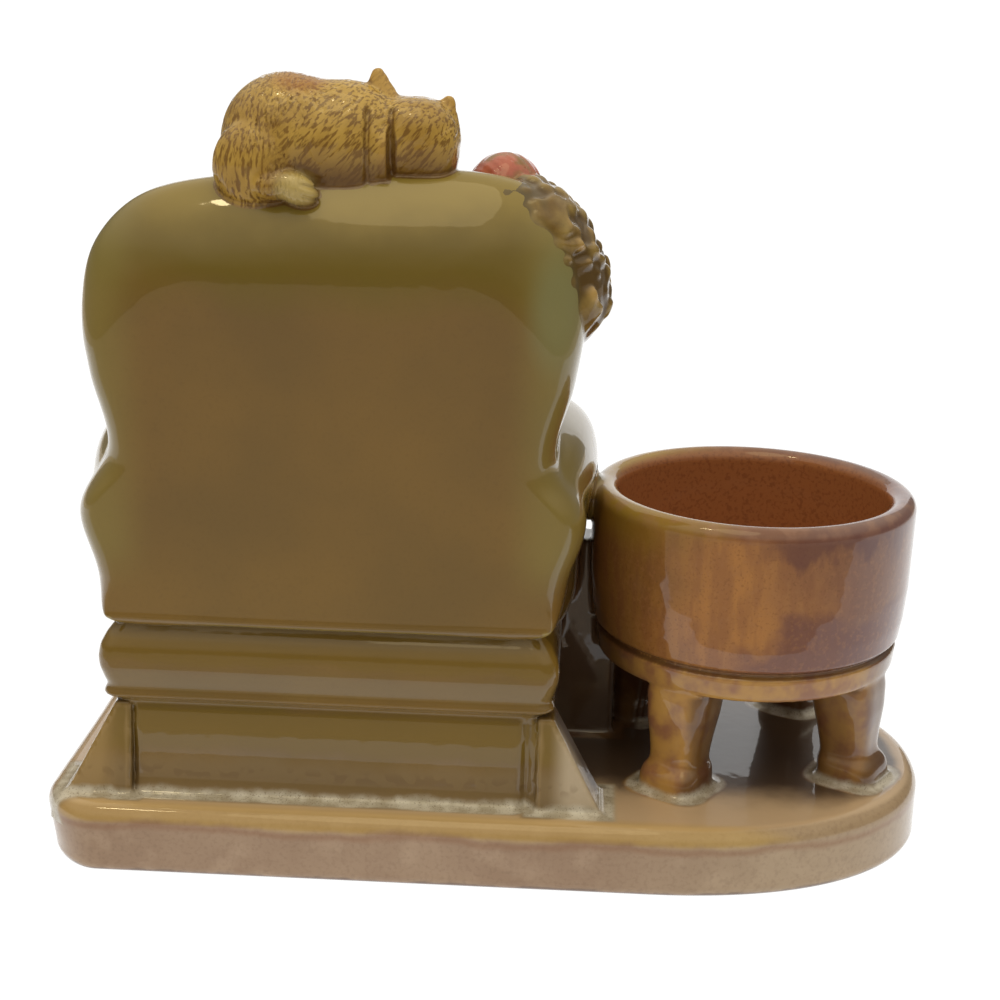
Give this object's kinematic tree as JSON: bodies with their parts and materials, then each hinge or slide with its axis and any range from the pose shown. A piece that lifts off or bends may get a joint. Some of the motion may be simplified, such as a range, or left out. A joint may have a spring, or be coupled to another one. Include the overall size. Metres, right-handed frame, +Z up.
{
  "type": "figural tea light holder",
  "caption": "Glazed earthenware tea light holder: an armchair with a cat, shawl and ball of wool on its back, beside a round tub on stub legs, on one plinth.",
  "frame": {"origin": "middle of the plinth's underside", "axes": "+Z up, +X along the plinth from the armchair to the tub, -Y towards the side that shows the back of the armchair"},
  "size_m": [0.1378, 0.063, 0.1193],
  "materials": {
    "glazed_earthenware": "gloss"
  },
  "bodies": {
    "root": {"candle_holder": "glazed_earthenware"}
  },
  "joints": []
}
